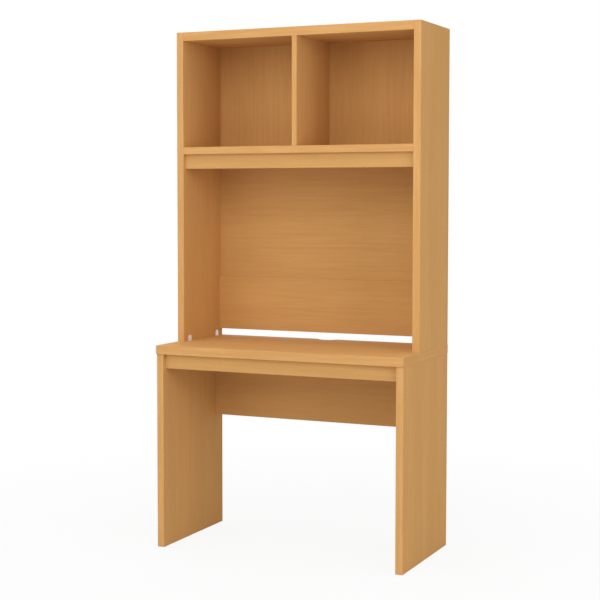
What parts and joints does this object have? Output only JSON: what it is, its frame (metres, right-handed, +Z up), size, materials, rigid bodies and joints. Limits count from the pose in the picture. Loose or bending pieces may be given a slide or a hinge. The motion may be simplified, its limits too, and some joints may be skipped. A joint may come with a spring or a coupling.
{
  "type": "student desk with hutch",
  "caption": "Panel-sided student desk with a tall open hutch: divided cubbies on top, a back rail over a cable gap, a cable notch in the desktop, and turning cams that lock the hutch down.",
  "frame": {"origin": "on the floor, under the middle of the desktop", "axes": "+Z up, -Y the front where a person sits, +X to that person's right"},
  "size_m": [0.9, 0.45, 1.78],
  "materials": {
    "laminate_board": "satin beech-grain laminate on particle board, with matching edging",
    "thin_back": "satin beech-grain paper on thin fibreboard",
    "white_plastic": "moulded, fine matt",
    "zinc": "die-cast zinc, plain",
    "steel": "zinc-plated steel"
  },
  "bodies": {
    "desk_and_hutch": {"desktop": "laminate_board", "desk_left_side": "laminate_board", "desk_right_side": "laminate_board", "desk_apron": "laminate_board", "desk_modesty_panel": "laminate_board", "hutch_left_side": "laminate_board", "hutch_right_side": "laminate_board", "hutch_top": "laminate_board", "hutch_shelf": "laminate_board", "hutch_divider": "laminate_board", "hutch_valance": "laminate_board", "hutch_back_rail": "laminate_board", "hutch_cubby_back": "thin_back", "hutch_lower_back": "thin_back", "connector_housings_left": "white_plastic", "connector_housings_right": "white_plastic", "desk_cam_locks": "zinc", "hutch_cam_locks": "zinc", "desk_cam_bolts": "steel", "hutch_cam_bolts": "steel", "connector_bolts": "steel"},
    "front_left_cam": {"connector_cam_front_left": "zinc"},
    "rear_left_cam": {"connector_cam_rear_left": "zinc"},
    "front_right_cam": {"connector_cam_front_right": "zinc"},
    "rear_right_cam": {"connector_cam_rear_right": "zinc"}
  },
  "joints": [
    {"name": "front_left_cam_turn", "type": "hinge", "parent": "desk_and_hutch", "child": "front_left_cam", "pos_m": [-0.424, -0.027, 0.707], "axis": [1, 0, 0], "range_deg": [0, 180]},
    {"name": "rear_left_cam_turn", "type": "hinge", "parent": "desk_and_hutch", "child": "rear_left_cam", "pos_m": [-0.424, 0.182, 0.707], "axis": [1, 0, 0], "range_deg": [0, 180]},
    {"name": "front_right_cam_turn", "type": "hinge", "parent": "desk_and_hutch", "child": "front_right_cam", "pos_m": [0.424, -0.027, 0.707], "axis": [-1, 0, 0], "range_deg": [0, 180]},
    {"name": "rear_right_cam_turn", "type": "hinge", "parent": "desk_and_hutch", "child": "rear_right_cam", "pos_m": [0.424, 0.182, 0.707], "axis": [-1, 0, 0], "range_deg": [0, 180]}
  ]
}
